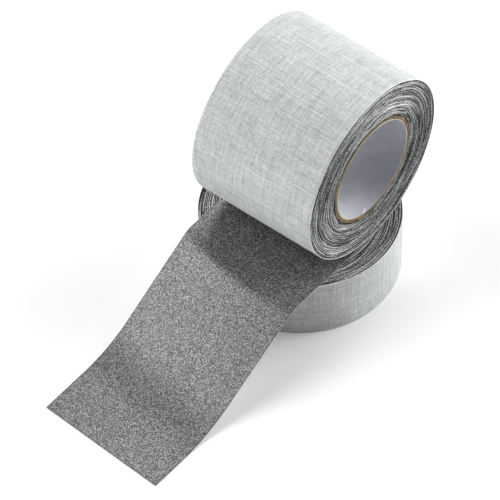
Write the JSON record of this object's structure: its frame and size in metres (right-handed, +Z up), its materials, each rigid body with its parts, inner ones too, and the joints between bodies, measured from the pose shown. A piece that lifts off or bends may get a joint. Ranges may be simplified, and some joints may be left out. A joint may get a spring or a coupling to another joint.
{
  "type": "duct tape roll",
  "caption": "Wide roll of cloth duct tape lying on a narrow roll of the same tape, its free end drawn off sticky side up, over the lower roll and down to the floor.",
  "frame": {"origin": "on the floor, under the centre of the whole object's bounding box", "axes": "+X along the wide roll's axis, -Y the way the free end points, +Z up"},
  "size_m": [0.141, 0.301, 0.1869],
  "materials": {
    "cloth_backing": "matte",
    "adhesive": "matte",
    "tape_edges": "matte",
    "kraft_board": "matte",
    "white_paper": "satin"
  },
  "bodies": {
    "narrow_roll": {"narrow_bore_liner": "white_paper", "narrow_core_inner_ply": "kraft_board", "narrow_core_middle_ply": "kraft_board", "narrow_core_outer_ply": "kraft_board", "narrow_tape_winding": "tape_edges", "narrow_outer_turn": "cloth_backing"},
    "tail_upper": {"tail_upper_backing": "cloth_backing", "tail_upper_adhesive": "adhesive"},
    "wide_roll": {"wide_bore_liner": "white_paper", "wide_core_inner_ply": "kraft_board", "wide_core_middle_ply": "kraft_board", "wide_core_outer_ply": "kraft_board", "wide_tape_winding": "tape_edges", "wide_outer_turn": "cloth_backing"},
    "tail_middle": {"tail_middle_backing": "cloth_backing", "tail_middle_adhesive": "adhesive"},
    "tail_lower": {"tail_lower_backing": "cloth_backing", "tail_lower_adhesive": "adhesive"}
  },
  "joints": [
    {"name": "lift_off", "type": "slide", "parent": "narrow_roll", "child": "tail_upper", "axis": [0, 0, 1], "range_m": [0, 0.15]},
    {"name": "roll_spin", "type": "hinge", "parent": "tail_upper", "child": "wide_roll", "pos_m": [0.0027, 0.08154, 0.1179], "axis": [-1, 0, 0], "continuous": true},
    {"name": "rim_bend", "type": "hinge", "parent": "tail_upper", "child": "tail_middle", "pos_m": [0.00181, 0.01754, 0.0486], "axis": [-0.9999, 0.014, 0], "range_deg": [0, 75]},
    {"name": "floor_bend", "type": "hinge", "parent": "tail_middle", "child": "tail_lower", "pos_m": [0.00021, -0.0969, 0.0032], "axis": [-0.9999, 0.014, 0], "range_deg": [0, 75]}
  ]
}
